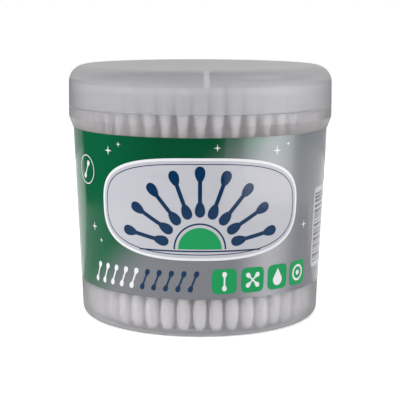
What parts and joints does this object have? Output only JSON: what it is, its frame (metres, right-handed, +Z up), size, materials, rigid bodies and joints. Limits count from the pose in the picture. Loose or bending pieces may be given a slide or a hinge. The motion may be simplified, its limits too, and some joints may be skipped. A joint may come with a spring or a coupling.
{
  "type": "cotton swab tub",
  "caption": "Round translucent plastic drum with a press-on lid and a wrapped label, packed with upright cotton swabs.",
  "frame": {"origin": "centre of the circle that the tub stands on", "axes": "+Z up along the tub's axis; -Y towards the label's front; +X to the right seen from the front"},
  "size_m": [0.085, 0.085, 0.0808],
  "materials": {
    "tub_plastic": "frosted translucent polypropylene",
    "lid_plastic": "frosted translucent polypropylene, slightly cool grey",
    "label_film": "printed satin film in greens and silver grey",
    "stick_paper": "smooth rolled white paper",
    "cotton": "wound white cotton wool"
  },
  "bodies": {
    "tub": {"tub": "tub_plastic", "label": "label_film", "swab_sticks_ring_1": "stick_paper", "swab_sticks_ring_2": "stick_paper", "swab_sticks_ring_3": "stick_paper", "swab_sticks_ring_4": "stick_paper", "swab_sticks_ring_5": "stick_paper", "swab_sticks_ring_6": "stick_paper", "swab_sticks_ring_7": "stick_paper", "swab_sticks_ring_8": "stick_paper", "swab_lower_tips_ring_1": "cotton", "swab_lower_tips_ring_2": "cotton", "swab_lower_tips_ring_3": "cotton", "swab_lower_tips_ring_4": "cotton", "swab_lower_tips_ring_5": "cotton", "swab_lower_tips_ring_6": "cotton", "swab_lower_tips_ring_7": "cotton", "swab_lower_tips_ring_8": "cotton", "swab_upper_tips_ring_1": "cotton", "swab_upper_tips_ring_2": "cotton", "swab_upper_tips_ring_3": "cotton", "swab_upper_tips_ring_4": "cotton", "swab_upper_tips_ring_5": "cotton", "swab_upper_tips_ring_6": "cotton", "swab_upper_tips_ring_7": "cotton", "swab_upper_tips_ring_8": "cotton"},
    "lid": {"lid": "lid_plastic"}
  },
  "joints": [
    {"name": "lid_lift", "type": "slide", "parent": "tub", "child": "lid", "axis": [0, 0, 1], "range_m": [0, 0.04]}
  ]
}
